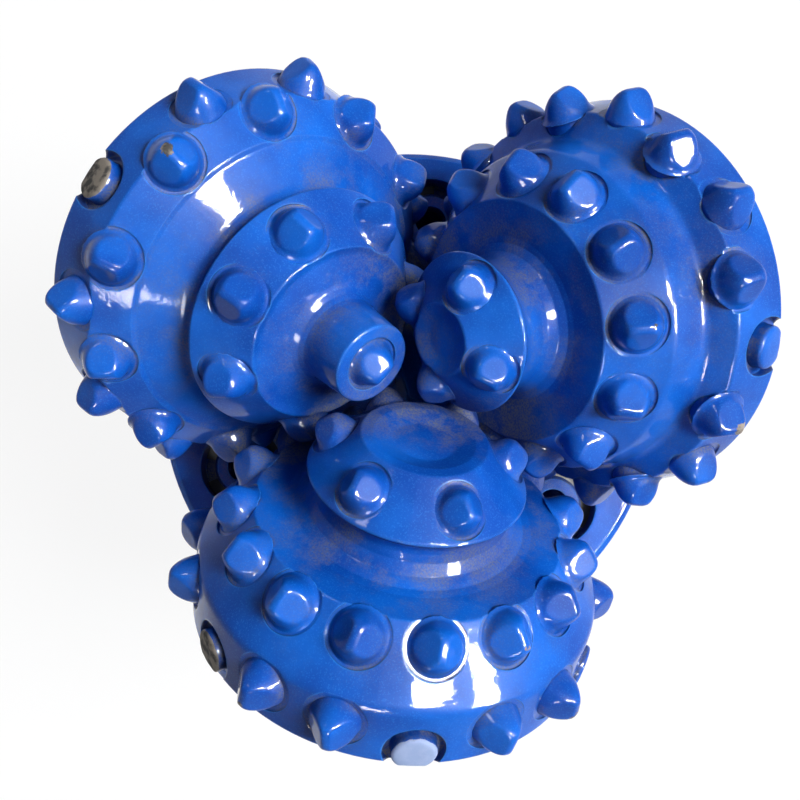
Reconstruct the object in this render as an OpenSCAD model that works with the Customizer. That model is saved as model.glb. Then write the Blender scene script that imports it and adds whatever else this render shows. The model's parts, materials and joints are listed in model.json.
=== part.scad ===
// Three-cone rock bit with carbide inserts, standing on its threaded pin.
// Millimetres, +Z up along the bit axis, origin at the centre of the pin's end face.
// Three forged legs make the body. Each ends in a journal that carries one rolling cone.
// On a cone and its journal, heights run from the cone's back face towards its nose.

/* [Bit] */
// Diameter of the hole that the bit drills
gage_d = 215.9; // [213:0.1:222]
// Height at which the journal axes pass the bit axis
journal_z = 290; // [282:1:305]
// Angle of each journal below the horizontal
journal_tilt = 36; // [35:0.1:37]
// Sideways offset of each journal from the bit axis
cone_offset = 6.35; // [5.5:0.05:7]

/* [Pin and shank] */
// Length of the threaded pin up to its shoulder
pin_l = 107.95; // [95:0.05:115]
// Radius of the pin at its end face
pin_end_r = 45.2; // [42:0.1:48]
// Radius of the pin at its shoulder end
pin_root_r = 57; // [54:0.1:60]
// Outer radius of the shoulder that seals against the drill string
shoulder_r = 67.9; // [66:0.1:72]
// Radius of the watercourse bored up the pin
bore_r = 28; // [22:0.5:32]
// Length of the watercourse before it widens
bore_l = 62; // [50:1:70]
// Radius of the chamber that feeds the nozzles
chamber_r = 40; // [34:0.5:44]
// Radius of the body between the legs
core_r = 76; // [73:0.5:80]
// Drop from the journal crossing to the top of the body
dome_drop = 110; // [108:0.5:114]

/* [Legs] */
// Shortfall of the legs' outside inside the hole wall
leg_relief = 3.45; // [2.5:0.05:5]
// Half width of a leg at its foot
leg_foot_w = 45; // [40:0.5:50]
// Half width of a leg below its journal
leg_w = 52; // [48:0.5:55]
// Radius of the shirttail around the journal axis
shirttail_r = 57; // [52:0.5:60]
// Height at which a leg starts to swell out of the shank
leg_foot_z = 118; // [112:1:124]
// Height at which a leg reaches its full radius
leg_full_z = 142; // [138:1:146]
// Height at which a leg reaches its full width
leg_wide_z = 152; // [147:1:158]
// Height at which a leg's straight sides end under the shirttail's round
leg_side_z = 206; // [202:1:210]
// Depth by which a leg is buried in the shank at its foot
leg_bury = 4; // [2:0.5:6]
// Distance from the bit axis to the flat that the breaker plate bears on
breaker_flat = 78; // [76:0.5:84]
// Half width of a breaker slot
breaker_slot_w = 24; // [18:0.5:30]
// Height of a breaker slot
breaker_slot_h = 18; // [12:0.5:20]
// Height at which the breaker slots start
breaker_slot_z = 122; // [118:0.5:124]

/* [Journals] */
// Radius of the main journal
journal_r = 29; // [27:0.1:30]
// Length of the main journal
journal_l = 24; // [20:0.5:25]
// Depth to which the journal is rooted in its leg
journal_root = 8; // [4:0.5:10]
// Radius of the journal between the ball race and the pilot
race_neck_r = 22; // [21:0.1:23]
// Radius of the pilot at the journal's end
pilot_r = 13; // [11:0.1:14]
// Length of the pilot
pilot_l = 11; // [8:0.5:11.5]
// Height of the thrust flange over the cone's back face
flange_h = 39.5; // [39:0.1:41]
// Diameter of a locking ball
ball_d = 12.7; // [10:0.1:13]
// Radius of the circle that the balls run on
race_r = 22.5; // [22:0.1:23]
// Height of the ball race over the cone's back face
race_h = 31.5; // [31:0.1:32]
// Height of the ball hole's outer end over the cone's back face
plug_end_h = -42; // [-46:0.5:-38]
// Distance of the ball hole's outer end from the journal axis
plug_end_r = 8; // [4:0.5:12]
// Wall of the journal bush
bush_wall = 2.5; // [1.5:0.1:3]
// Wall of the pilot bush
pilot_bush_wall = 2.1; // [1.5:0.1:2.6]
// Thickness of the thrust washer
washer_t = 1.8; // [1.2:0.1:2]
// Thickness of the cone seal
seal_d = 5.5; // [4:0.1:6]

/* [Cones] */
// Radius of the rim that all three cones share
cone_r = 61.4; // [60:0.1:62]
// Height of the rim over the back face
rim_h = 4.2; // [3:0.1:5]
// Radius of the back face
cone_back_r = 55.6; // [52:0.1:57]
// Shortfall of the steel rim inside the hole wall, in line with its journal
rim_relief = 2.45; // [2:0.05:3.5]
// Shortfall of the gage flats, in line with their journals
flat_relief = 2.15; // [1.5:0.05:2.4]
// Depth of the dimple in the noses of cones b and c
dimple_d = 1.6; // [0.5:0.1:2.5]

/* [Cone a outline, height and radius] */
// Nose side edge of the outer band
a_band = [21.6, 59.3]; // [20:0.1:62]
// Nose side edge of the second land
a_second = [29.1, 49.7]; // [28:0.1:51]
// Floor of the groove
a_groove = [39, 35.8]; // [33:0.1:41]
// Rim of the third land beside the groove
a_third_back = [42.6, 39.5]; // [38:0.1:44]
// Rim of the third land beside the dish
a_third_front = [58.4, 27.7]; // [27:0.1:59]
// Height of the spear's foot
a_dish_h = 60; // [59:0.1:62]
// Height of the spear's end face
a_nose_h = 77; // [72:0.5:78]
// Radius of the spear
a_spear_r = 12.2; // [11:0.1:12.6]

/* [Cone b outline, height and radius] */
// Nose side edge of the outer band
b_band = [21.2, 58.9]; // [20:0.1:62]
// Foot of the step below the outer band
b_step = [25.2, 50.9]; // [24:0.1:52]
// Crease on the main land
b_crease = [35.8, 48.8]; // [33:0.1:50]
// Rim of the main land beside the groove
b_main_front = [50.8, 36.2]; // [35:0.1:52]
// Floor of the groove
b_groove = [57, 19.4]; // [19:0.1:58]
// Rim of the nose
b_nose_rim = [68.2, 23.8]; // [22:0.1:70]
// Edge of the nose's flat end
b_nose = [78.5, 10.5]; // [9:0.1:79]

/* [Cone c outline, height and radius] */
// Nose side edge of the outer band
c_band = [23.1, 61.3]; // [22:0.1:63]
// Rim of the main land beside the groove
c_main_front = [41.4, 46.2]; // [40:0.1:48]
// Floor of the groove
c_groove = [49, 29]; // [28:0.1:50]
// Rim of the nose
c_nose_rim = [55.5, 32.7]; // [31:0.1:57]
// Edge of the nose's flat end
c_nose = [68.5, 18.5]; // [17:0.1:70]

/* [Inserts] */
// Radius of the inserts on the lands
insert_r = 7.1; // [6:0.05:7.2]
// Radius of the inserts on the noses
nose_insert_r = 6.35; // [5.5:0.05:6.5]
// Depth to which an insert on a land is pressed in
insert_grip = 12; // [9:0.1:12.5]
// Depth to which an insert on a nose is pressed in
nose_grip = 9; // [7:0.1:9.5]
// Depth to which cone a's second row is pressed in, short of the outer row's holes
second_grip = 9; // [7:0.1:9.5]
// Height by which outer inserts stand out
outer_proud = 7.4; // [5:0.1:7.6]
// Height by which inserts on the inner lands stand out
land_proud = 6.9; // [5:0.1:7]
// Height by which inserts on the noses stand out
nose_proud = 5.4; // [4:0.1:5.6]
// Half width of an insert's crest
crest_w = 1.9; // [1:0.1:3]
// Sink of the spot face around each insert
spot_sink = 0.7; // [0.3:0.1:1.5]
// Width of the spot face around each insert
spot_w = 1.9; // [1:0.1:2.5]
// Height at which the gage inserts sit on the cones
gage_h = 8.5; // [8:0.1:10]
// Lean of the gage inserts towards the back face
gage_lean = 4; // [0:0.5:6]
// Height by which gage inserts stand out
gage_proud = 1.2; // [0.5:0.1:2]
// Depth of the notch in which a gage insert sits
notch_d = 3; // [1:0.1:4]
// Width of the notch around a gage insert
notch_w = 2.4; // [1.5:0.1:3]

/* [Nozzles] */
// Distance of a nozzle from the bit axis
nozzle_pos_r = 66; // [64:0.5:68]
// Turn from a leg to its nozzle
nozzle_turn = 64; // [62:0.5:66]
// Radius of the boss around a nozzle
boss_r = 21; // [20:0.1:22]
// Shortfall of the bosses' outer walls inside the legs' outside
boss_relief = 14.5; // [12:0.5:17]
// Drop from the journal crossing to the top of the bosses
boss_drop = 97; // [96:0.5:102]
// Radius of the nozzle pocket
pocket_r = 14.6; // [13:0.1:15]
// Depth of the nozzle pocket
pocket_d = 27; // [25:0.5:30]
// Radius of a nozzle's orifice
orifice_r = 5.6; // [4:0.1:8]
// Length of the straight part of the orifice
orifice_l = 9; // [6:0.5:12]
// Height of a nozzle's wide foot
nozzle_foot_h = 14; // [12:0.5:15]
// Radius of a nozzle's neck
nozzle_neck_r = 10.4; // [10:0.1:11]
// Thickness of the nozzle seal
nozzle_seal_d = 3; // [2:0.1:3.4]
// Height of the nozzle seal in its pocket
nozzle_seal_h = 7; // [5:0.1:8]
// Thickness of the nozzle ring
nozzle_ring_t = 2.2; // [1.8:0.1:2.6]
// Radius of the passage that feeds a nozzle
passage_r = 9.5; // [7:0.5:10]
// Lean of the passage from the chamber
passage_lean = 40; // [36:1:44]
// Length of the passage
passage_l = 60; // [56:1:64]

/* [Grease reservoirs] */
// Height of a reservoir above the pin's end face
reservoir_z = 165; // [163:0.5:167]
// Radius of the reservoir bore
reservoir_r = 17.5; // [15:0.1:18]
// Depth of the reservoir bore below the leg's outside
reservoir_d = 42.5; // [41:0.5:46]
// Length of the reservoir cup
cup_l = 27; // [24:0.5:28]
// Wall of the cup and of the diaphragm
cup_wall = 1.5; // [1:0.1:2]
// Depth of the rubber thimble
diaphragm_l = 18; // [12:0.5:20]
// Thickness of the rubber flange
flange_t = 2.6; // [2:0.1:3]
// Radius of the reservoir cap
cap_r = 19.8; // [19:0.1:20.5]
// Thickness of the reservoir cap
cap_t = 5; // [4:0.1:5.5]
// Thickness of the snap ring
snap_t = 1.8; // [1.4:0.1:2]
// Depth of the snap ring's groove
snap_groove_d = 1.5; // [1:0.1:2]

/* [Wear buttons] */
// Radius of a shirttail button
button_r = 3.2; // [2.5:0.1:4]
// Length of a shirttail button
button_l = 7; // [5:0.1:7.5]
// Height by which a button stands out
button_proud = 0.4; // [0.2:0.1:1]
// Distance of the buttons from the journal axis, seen from outside
button_ring_r = 43; // [38:0.5:45]
// Angle of the first button on its arc
button_start = 25; // [20:1:30]
// Angle from button to button
button_pitch = 26; // [22:1:28]
// Number of buttons on a shirttail
button_count = 6; // [4:1:6]
// Height of the arc's middle over the point where the journal axis leaves the leg
button_rise = 5.9; // [2:0.1:10]

/* [Clearances] */
// Gap around a pressed insert
press_gap = 0.03; // [0.01:0.01:0.1]
// Gap around a running journal
run_gap = 0.05; // [0.02:0.01:0.1]
// Gap around a ball in its race
ball_gap = 0.1; // [0.05:0.01:0.2]
// Gap between seated pieces
seat_gap = 0.15; // [0.05:0.01:0.3]
// Gap between a cone's back face and its leg
back_gap = 0.6; // [0.4:0.05:1]
// Gap between the inserts' sweep and the body
sweep_gap = 2.5; // [1.5:0.1:3]

/* [Hidden] */
$fn = 72;

paint = [0.05, 0.22, 0.72];
carbide = [0.45, 0.44, 0.42];
steel = [0.6, 0.61, 0.63];
bronze = [0.72, 0.53, 0.28];
rubber = [0.08, 0.08, 0.08];

// Legs a, b and c, by the direction in which each journal points
leg_turn = [150, 30, 270];
legs = [0, 1, 2];

// Distance from the journal crossing to the cones' back faces
rim_t = (gage_d / 2 - rim_relief - cone_r * sin(journal_tilt)) / cos(journal_tilt);
back_t = rim_t + rim_h;

leg_r = gage_d / 2 - leg_relief;
boss_wall_r = leg_r - boss_relief;
reservoir_floor = leg_r - reservoir_d;
button_z = journal_z - leg_r * tan(journal_tilt) + button_rise;
dome_z = journal_z - dome_drop;
boss_z = journal_z - boss_drop;
body_top = journal_z;
far = 400;

// Cone cavity
bush_bore_r = journal_r + run_gap + bush_wall;
main_bore_h = journal_l + 2 * seat_gap;
race_bore_r = race_neck_r + 1;
flange_bore_h = flange_h + washer_t + 2 * seat_gap;
pilot_bore_r = pilot_r + run_gap + pilot_bush_wall;
pilot_bore_h = flange_h + pilot_l + 2;
seal_h = seal_d / 2 + 0.8;
gland_r = journal_r + run_gap + seal_d + seat_gap;
gland_h = seal_h + seal_d / 2 + 0.6;
seal_ring_r = journal_r + run_gap + seal_d / 2;
ball_r = ball_d / 2;
ball_count = floor(2 * PI * race_r / (ball_d + 1));
groove_r = ball_r + ball_gap;

// Plug that closes the hole through which the balls are loaded
plug_r = ball_r + 0.4;
plug_out = [plug_end_h, plug_end_r];
plug_in = [race_h, -race_r];
plug_lean = atan2(plug_in[1] - plug_out[1], plug_in[0] - plug_out[0]);
plug_run = norm(plug_in - plug_out);

// Sweep of the cones with their inserts
sweep_r = cone_r + outer_proud + sweep_gap;

// Insert rows: height on the cone, and angles from the tangent line. Rows are evenly pitched
// except where the bit breaks the pitch, so that the teeth don't track in one another's marks.
function even(first, count) = [for (k = [0:count - 1]) first + k * 360 / count];
function pick(list, first, step) = [for (k = [first:step:len(list) - 1]) list[k]];
function others(list, first, step) =
    [for (k = [0:len(list) - 1]) if (k < first || (k - first) % step != 0) list[k]];

outer_h = 15.5;
a_outer_angles = even(13.6, 11);
b_outer_angles = even(42, 9);
c_outer_angles = even(14.5, 17);
a_second_h = 24;
a_second_angles = even(30, 11);
a_third_h = 51.5;
a_third_angles = [25.5, 71, 114, 162, 213, 266, 318];
b_step_seat = [19.4, 58.6];
b_step_lean = 20;
b_step_angles = even(62, 9);
b_main_h = 43.6;
b_main_angles = [26, 54, 82.5, 111, 141, 171, 199, 230, 261, 292, 323, 354.5];
b_nose_h = 73.6;
b_nose_angles = even(52, 4);
c_main_h = 36.4;
c_main_angles = even(3, 15);
c_nose_h = 62;
c_nose_angles = [345, 60, 124, 187, 240, 293];

// Point on a land at a height, and the lean of its normal towards the nose
function land_r(land, h) =
    land[0][1] + (h - land[0][0]) * (land[1][1] - land[0][1]) / (land[1][0] - land[0][0]);
function land_lean(land) = atan2(land[0][1] - land[1][1], land[1][0] - land[0][0]);

rim = [rim_h, cone_r];
outer_land = [[rim, a_band], [rim, b_band], [rim, c_band]];
a_second_land = [a_band, a_second];
a_third_land = [a_third_back, a_third_front];
b_main_land = [b_crease, b_main_front];
b_nose_land = [b_nose_rim, b_nose];
c_main_land = [c_band, c_main_front];
c_nose_land = [c_nose_rim, c_nose];

// Points of an outline, with each corner [height, radius, rounding] turned into an arc
function unit(v) = v / norm(v);
function point(p) = [p[0], p[1]];
function arc(start, corner, end, r) =
    let (
        a = unit(start - corner), b = unit(end - corner), half = acos(a * b) / 2,
        steps = r < 2 ? 2 : 4,
        middle = corner + unit(a + b) * r / sin(half),
        from = corner + a * r / tan(half) - middle, to = corner + b * r / tan(half) - middle
    )
    [for (k = [0:steps]) middle + r * unit(from * (steps - k) + to * k)];
function rounded(list) = [
    for (k = [0:len(list) - 1])
        each len(list[k]) == 2 ? [list[k]]
            : arc(point(list[k - 1]), point(list[k]), point(list[k + 1]), list[k][2])
];
function bend(p, r) = [p[0], p[1], r];

// Outlines from the rim to the nose, with crisp edges on the lands and hollow grooves
a_outline = rounded([
    rim, bend(a_band, 1.2), a_second, a_second + [0.2, -1.6],
    bend(a_groove + [-2.2, 0], 4), [a_third_back[0] - 0.6, a_groove[1] + 0.4, 1.4],
    bend(a_third_back, 0.5), bend(a_third_front, 0.6), bend(a_third_front + [-0.6, -2.4], 4),
    [a_dish_h, a_spear_r + 1.2, 5], [a_nose_h, a_spear_r, 0.8], [a_nose_h, 0]
]);
b_outline = rounded([
    rim, bend(b_band, 1.2), bend(b_step, 3.5), bend(b_crease, 4), bend(b_main_front, 0.8),
    [b_main_front[0] - 0.2, b_groove[1], 6], bend(b_groove + [5.5, 0], 8),
    bend(b_nose_rim, 0.8), bend(b_nose, 1.2), [b_nose[0] - dimple_d, b_nose[1] - 5, 6],
    [b_nose[0] - dimple_d, 0]
]);
c_outline = rounded([
    rim, bend(c_band, 5), bend(c_main_front, 0.8),
    [c_main_front[0] - 0.2, c_groove[1] - 0.2, 8], bend(c_groove + [2.8, -0.2], 4),
    bend(c_nose_rim, 0.7), bend(c_nose, 1), bend(c_nose + [0, -3.5], 4),
    bend(c_nose + [-dimple_d, -9.5], 5), [c_nose[0] - dimple_d, 0]
]);
cone_outline = [a_outline, b_outline, c_outline];

// Hollow of a cone, from its nose end to its back face, as [height, radius]
cone_hollow = [
    [pilot_bore_h, 0], [pilot_bore_h, pilot_bore_r], [flange_bore_h, pilot_bore_r],
    [flange_bore_h, race_bore_r], [main_bore_h, race_bore_r], [main_bore_h, bush_bore_r],
    [gland_h, bush_bore_r], [gland_h, gland_r], [0, gland_r], [0, cone_back_r]
];

// Space that a turning cone needs, as [height, radius]
sweep_outline = [
    [-back_gap, 0], [-back_gap, cone_back_r + sweep_gap], [rim_h - 2, sweep_r], [26, sweep_r],
    [48, 57], [64, 40], [a_nose_h + 6, 24], [a_nose_h + 6, 0]
];

// Journal, from inside the leg to the end of the pilot, as [height, radius]
journal_outline = [
    [-journal_root, 0], [-journal_root, journal_r], [journal_l - 1, journal_r],
    [journal_l, journal_r - 1], [journal_l, race_neck_r + 0.8], [journal_l + 0.8, race_neck_r],
    [flange_h - 0.5, race_neck_r], [flange_h, race_neck_r - 0.5], [flange_h, pilot_r],
    [flange_h + pilot_l - 1, pilot_r], [flange_h + pilot_l, pilot_r - 1], [flange_h + pilot_l, 0]
];

// One third of the turned body, with the pin below and the chamber inside, as [radius, height]
core_outline = [
    [bore_r, 0], [pin_end_r - 3, 0], [pin_end_r, 3], [pin_root_r, pin_l - 8],
    [pin_root_r, pin_l], [shoulder_r, pin_l], [shoulder_r + 2.5, pin_l + 2.5],
    [shoulder_r + 3.5, leg_foot_z + 8], [core_r, leg_foot_z + 20], [core_r, dome_z - 7],
    [core_r - 7, dome_z], [0, dome_z], [0, dome_z - 18], [chamber_r * 0.6, dome_z - 24],
    [chamber_r, dome_z - 40], [chamber_r, bore_l + 14], [bore_r, bore_l]
];

// Turned limit of the legs' outside, as [radius, height]
leg_limit = [
    [0, leg_foot_z - leg_bury], [shoulder_r + 2, leg_foot_z - leg_bury], [leg_r, leg_full_z],
    [leg_r, body_top], [0, body_top]
];
boss_limit = [
    [0, leg_foot_z + 4], [core_r - 3, leg_foot_z + 4], [boss_wall_r, leg_full_z - 8],
    [boss_wall_r, boss_z - 2], [boss_wall_r - 2, boss_z], [0, boss_z]
];

// Side outline of a leg, seen from outside, as [across, height]
leg_side = [
    [-leg_foot_w, leg_foot_z - leg_bury], [leg_foot_w, leg_foot_z - leg_bury],
    [leg_w, leg_wide_z], [leg_w, leg_side_z], [-leg_w, leg_side_z], [-leg_w, leg_wide_z]
];
leg_inner_x = 40;
seam_turn = nozzle_turn + 20;

function swap(list) = [for (p = list) [p[1], p[0]]];

module revolve(outline) rotate_extrude() polygon(swap(outline));

// Places its children on the journal axis, at the cone's back face, pointing to the nose
module on_journal(i)
    rotate([0, 0, leg_turn[i]]) translate([0, cone_offset, journal_z])
        rotate([0, journal_tilt - 90, 0]) translate([0, 0, -back_t]) children();

module on_nozzle(i)
    rotate([0, 0, leg_turn[i] + nozzle_turn]) translate([nozzle_pos_r, 0, boss_z - pocket_d])
        children();

// Places its children on the reservoir axis, with height as the distance from the bit axis
module on_reservoir(i)
    rotate([0, 0, leg_turn[i]]) translate([0, cone_offset, reservoir_z]) rotate([0, 90, 0])
        children();

// Places its children at each angle of a row, at the seat, pointing along the seat's normal
module on_row(angles, seat, lean)
    for (angle = angles)
        rotate([0, 0, 90 - angle]) translate([seat[1], 0, seat[0]]) rotate([0, 90 - lean, 0])
            children();

module on_land(angles, land, h) on_row(angles, [h, land_r(land, h)], land_lean(land)) children();

// Insert: a barrel in its hole, and a crown pressed between two flats to a rounded crest
module insert(r, grip, proud) {
    collar = 0.8;
    rise = proud - collar;
    intersection() {
        rotate_extrude()
            polygon([
                [0, -grip], [r - 0.8, -grip], [r, 0.8 - grip], [r, collar],
                [0.93 * r, collar + 0.3 * rise], [0.8 * r, collar + 0.65 * rise],
                [0.62 * r, collar + 0.9 * rise], [0.42 * r, proud], [0, proud]
            ]);
        rotate([90, 0, 90])
            linear_extrude(height = 2 * r + 2, center = true)
                polygon([
                    [-r - 1, -grip - 1], [r + 1, -grip - 1], [r + 1, collar],
                    [crest_w, proud - 1], [0.55 * crest_w, proud - 0.2], [-0.55 * crest_w, proud - 0.2],
                    [-crest_w, proud - 1], [-r - 1, collar]
                ]);
    }
}

// Distance from the bit axis to a point of a cone, in line with its journal
function reach(h, r) = (back_t - h) * cos(journal_tilt) + r * sin(journal_tilt);

// Gage insert: flat on top, its outer side ground parallel to the hole wall
module gage_insert(seat)
    difference() {
        translate([0, 0, -insert_grip])
            cylinder(r = nose_insert_r, h = insert_grip + gage_proud);
        rotate([0, -gage_lean - journal_tilt, 0])
            translate([gage_d / 2 - flat_relief - reach(seat[0], seat[1]), -insert_r, -far / 2])
                cube([far, 2 * insert_r, far]);
    }

// Hole and spot face for an insert
module insert_hole(r, grip) {
    translate([0, 0, -grip - press_gap]) cylinder(r = r + press_gap, h = grip + 2);
    translate([0, 0, -spot_sink]) cylinder(r = r + spot_w, h = insert_grip);
}

// Hole and notch for a gage insert, open at the rim
module notch() {
    translate([0, 0, -insert_grip - press_gap])
        cylinder(r = nose_insert_r + press_gap, h = insert_grip + 2);
    translate([0, 0, -notch_d]) cylinder(r = nose_insert_r + notch_w, h = insert_grip);
}

function gage_seat(i) = [gage_h, land_r(outer_land[i], gage_h)];

module cone_blank(i) {
    difference() {
        revolve(concat(cone_outline[i], cone_hollow));
        translate([0, 0, race_h]) rotate_extrude() translate([race_r, 0]) circle(r = groove_r);
    }
}

a_gage = pick(a_outer_angles, 2, 3);
a_outer = others(a_outer_angles, 2, 3);
b_gage = pick(b_outer_angles, 2, 4);
b_outer = others(b_outer_angles, 2, 4);
c_gage = pick(c_outer_angles, 0, 3);
c_outer = others(c_outer_angles, 0, 3);

module cone_a() color(paint) on_journal(0)
    difference() {
        cone_blank(0);
        on_row(a_gage, gage_seat(0), -gage_lean) notch();
        on_land(a_outer, outer_land[0], outer_h) insert_hole(insert_r, insert_grip);
        on_land(a_second_angles, a_second_land, a_second_h) insert_hole(insert_r, second_grip);
        on_land(a_third_angles, a_third_land, a_third_h) insert_hole(insert_r, insert_grip);
        on_row([0], [a_nose_h, 0], 90) insert_hole(nose_insert_r, nose_grip);
    }

module cone_b() color(paint) on_journal(1)
    difference() {
        cone_blank(1);
        on_row(b_gage, gage_seat(1), -gage_lean) notch();
        on_land(b_outer, outer_land[1], outer_h) insert_hole(insert_r, insert_grip);
        on_row(b_step_angles, b_step_seat, b_step_lean) insert_hole(insert_r, insert_grip);
        on_land(b_main_angles, b_main_land, b_main_h) insert_hole(insert_r, insert_grip);
        on_land(b_nose_angles, b_nose_land, b_nose_h) insert_hole(nose_insert_r, nose_grip);
    }

module cone_c() color(paint) on_journal(2)
    difference() {
        cone_blank(2);
        on_row(c_gage, gage_seat(2), -gage_lean) notch();
        on_land(c_outer, outer_land[2], outer_h) insert_hole(insert_r, insert_grip);
        on_land(c_main_angles, c_main_land, c_main_h) insert_hole(insert_r, insert_grip);
        on_land(c_nose_angles, c_nose_land, c_nose_h) insert_hole(nose_insert_r, nose_grip);
    }

module gage_inserts(i, angles) color(carbide) on_journal(i)
    on_row(angles, gage_seat(i), -gage_lean) gage_insert(gage_seat(i));

module outer_inserts(i, angles) color(carbide) on_journal(i)
    on_land(angles, outer_land[i], outer_h) insert(insert_r, insert_grip, outer_proud);

module land_inserts(i, angles, land, h, grip) color(carbide) on_journal(i)
    on_land(angles, land, h) insert(insert_r, grip, land_proud);

module nose_inserts(i, angles, land, h) color(carbide) on_journal(i)
    on_land(angles, land, h) insert(nose_insert_r, nose_grip, nose_proud);

module second_inserts_a()
    land_inserts(0, a_second_angles, a_second_land, a_second_h, second_grip);
module third_inserts_a()
    land_inserts(0, a_third_angles, a_third_land, a_third_h, insert_grip);
module nose_insert_a() color(carbide) on_journal(0)
    on_row([0], [a_nose_h, 0], 90) insert(nose_insert_r, nose_grip, nose_proud);

module step_inserts_b() color(carbide) on_journal(1)
    on_row(b_step_angles, b_step_seat, b_step_lean) insert(insert_r, insert_grip, land_proud);
module main_inserts_b() land_inserts(1, b_main_angles, b_main_land, b_main_h, insert_grip);
module nose_inserts_b() nose_inserts(1, b_nose_angles, b_nose_land, b_nose_h);

module main_inserts_c() land_inserts(2, c_main_angles, c_main_land, c_main_h, insert_grip);
module nose_inserts_c() nose_inserts(2, c_nose_angles, c_nose_land, c_nose_h);

// Sleeve in a cone, on the main journal
module journal_bush(i) color(bronze) on_journal(i)
    translate([0, 0, gland_h + seat_gap])
        difference() {
            cylinder(r = bush_bore_r - press_gap, h = main_bore_h - gland_h - 2 * seat_gap);
            translate([0, 0, -1]) cylinder(r = journal_r + run_gap, h = far);
        }

// Sleeve in a cone, on the pilot
module pilot_bush(i) color(bronze) on_journal(i)
    translate([0, 0, flange_bore_h])
        difference() {
            cylinder(r = pilot_bore_r - press_gap, h = pilot_l - washer_t - 1);
            translate([0, 0, -1]) cylinder(r = pilot_r + run_gap, h = far);
        }

// Washer on the journal's flange, which takes the cone's inward thrust
module thrust_washer(i) color(bronze) on_journal(i)
    translate([0, 0, flange_h])
        difference() {
            cylinder(r = race_neck_r - 0.5, h = washer_t);
            translate([0, 0, -1]) cylinder(r = pilot_r + seat_gap, h = far);
        }

// Balls that lock a cone on its journal
module ball_set(i) color(steel) on_journal(i)
    for (k = [0:ball_count - 1])
        rotate([0, 0, k * 360 / ball_count]) translate([race_r, 0, race_h]) sphere(d = ball_d);

module cone_seal(i) color(rubber) on_journal(i)
    translate([0, 0, seal_h]) rotate_extrude() translate([seal_ring_r + seat_gap / 2, 0])
        circle(d = seal_d);

// Places its children on the ball hole's axis, at its outer end, pointing to the race
module on_ball_hole(i)
    on_journal(i) translate([plug_out[1], 0, plug_out[0]]) rotate([0, plug_lean, 0]) children();

// Plug that closes the ball hole. Its end carries on the race.
module ball_plug(i) color(steel)
    difference() {
        intersection() {
            on_ball_hole(i) translate([0, 0, 3])
                cylinder(r = plug_r - seat_gap, h = plug_run - 3);
            on_journal(i)
                revolve([
                    [-far, 0], [-far, far], [-back_gap - 1, far], [-back_gap - 1, journal_r - 0.2],
                    [journal_l, journal_r - 0.2], [journal_l, race_neck_r - 0.2],
                    [flange_h - 1, race_neck_r - 0.2], [flange_h - 1, 0]
                ]);
            cylinder(r = leg_r - 1.5, h = far);
        }
        on_journal(i) translate([0, 0, race_h]) rotate_extrude() translate([race_r, 0])
            circle(r = groove_r);
    }

// Space of all three turning cones
module sweeps() for (i = legs) on_journal(i) revolve(sweep_outline);

// A third of a turned body, from seam to seam of a leg
module third(i, outline)
    rotate([0, 0, leg_turn[i] + seam_turn - 120]) rotate_extrude(angle = 120) polygon(outline);

// Leg without its bores: a third of the turned body, the arm, the shirttail and the nozzle boss
module leg_blank(i) {
    third(i, core_outline);
    intersection() {
        union() {
            rotate([0, 0, leg_turn[i]]) translate([leg_inner_x, cone_offset, 0])
                rotate([90, 0, 90]) linear_extrude(height = leg_r) polygon(leg_side);
            on_journal(i) translate([0, 0, -far / 4 - back_gap])
                cylinder(r = shirttail_r, h = far / 4);
        }
        third(i, leg_limit);
    }
    intersection() {
        rotate([0, 0, leg_turn[i] + nozzle_turn]) translate([nozzle_pos_r, 0, 0]) {
            cylinder(r = boss_r, h = body_top);
            translate([0, -boss_r, 0]) cube([boss_wall_r, 2 * boss_r, body_top]);
        }
        third(i, boss_limit);
    }
}

// Distances of the reservoir's cap and snap ring from the bit axis
cap_x = reservoir_floor + seat_gap + cup_l + flange_t + 2 * seat_gap;
snap_x = cap_x + cap_t + 2 * seat_gap;

// Grease way, from the reservoir's floor to the ball hole
grease_r = 2.5;
grease_start = [reservoir_floor + grease_r, reservoir_z];
grease_end = [(back_t + 12) * cos(journal_tilt), journal_z - (back_t + 12) * sin(journal_tilt)];
grease_lean = atan2(grease_end[0] - grease_start[0], grease_end[1] - grease_start[1]);
grease_run = norm(grease_end - grease_start);

module nozzle_pocket(i) {
    on_nozzle(i) {
        cylinder(r = pocket_r, h = far);
        translate([0, 0, nozzle_foot_h + seat_gap])
            cylinder(r = pocket_r + 1.2, h = nozzle_ring_t + 2 * seat_gap);
        translate([0, 0, nozzle_seal_h - nozzle_seal_d / 2 - seat_gap])
            cylinder(r = pocket_r + nozzle_seal_d, h = nozzle_seal_d + 2 * seat_gap);
        rotate([0, 180 + passage_lean, 0]) translate([0, 0, -passage_r * tan(passage_lean)])
            cylinder(r = passage_r, h = passage_l);
    }
}

module grease_bores(i) {
    on_reservoir(i) {
        translate([0, 0, reservoir_floor]) cylinder(r = reservoir_r, h = far);
        translate([0, 0, cap_x]) cylinder(r = cap_r + seat_gap, h = far);
        translate([0, 0, snap_x - seat_gap / 2])
            cylinder(r = cap_r + snap_groove_d + seat_gap, h = snap_t + seat_gap);
    }
    rotate([0, 0, leg_turn[i]]) translate([grease_start[0], cone_offset, grease_start[1]])
        rotate([0, grease_lean, 0]) cylinder(r = grease_r, h = grease_run);
}

// Buttons sit on an arc around the journal axis, seen from outside the leg
module on_buttons(i)
    for (k = [0:button_count - 1]) {
        angle = button_start + k * button_pitch;
        across = cone_offset + button_ring_r * cos(angle);
        rotate([0, 0, leg_turn[i] + asin(across / leg_r)])
            translate([leg_r, 0, button_z + button_ring_r * sin(angle)])
                rotate([0, -90, 0]) children();
    }

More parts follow.
